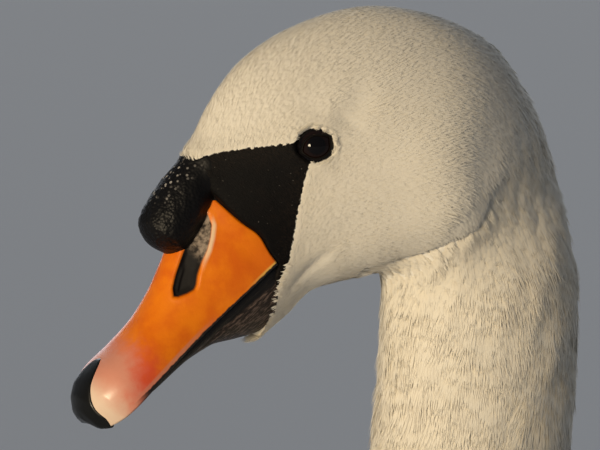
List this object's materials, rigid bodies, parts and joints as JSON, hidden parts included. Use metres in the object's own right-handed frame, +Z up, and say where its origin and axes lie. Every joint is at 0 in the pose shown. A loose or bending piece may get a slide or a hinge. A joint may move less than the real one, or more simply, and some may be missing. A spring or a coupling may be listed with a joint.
{
  "type": "mute swan model",
  "caption": "Life-size still model of an adult mute swan resting on its belly, neck raised and bill lowered, wings folded and feet tucked.",
  "frame": {"origin": "on the belly's flat, in the plane of symmetry, at floor level under the middle of the body", "axes": "+Z up; the bird faces -Y; its left side is +X"},
  "size_m": [0.3696, 0.8856, 0.7193],
  "materials": {
    "bill_orange": "satin orange horn",
    "bill_black": "satin black horn",
    "knob_black": "pebbled black skin",
    "head_down": "short velvety cream-white feathers",
    "neck_down": "soft cream-white feathers",
    "body_feather": "white contour feathers",
    "flight_feather": "white vaned feathers",
    "eye": "glossy black",
    "leg_skin": "scaly dark grey skin"
  },
  "bodies": {
    "root": {"bill_upper": "bill_orange", "bill_nail": "bill_black", "bill_lower": "bill_black", "bill_knob": "knob_black", "head": "head_down", "eye_left": "eye", "eye_right": "eye", "neck_upper": "neck_down", "neck_middle": "neck_down", "neck_lower": "neck_down", "trunk": "body_feather", "tail": "flight_feather", "wing_left": "flight_feather", "wing_right": "flight_feather", "leg_left": "leg_skin", "leg_right": "leg_skin", "foot_left": "leg_skin", "foot_right": "leg_skin"}
  },
  "joints": []
}
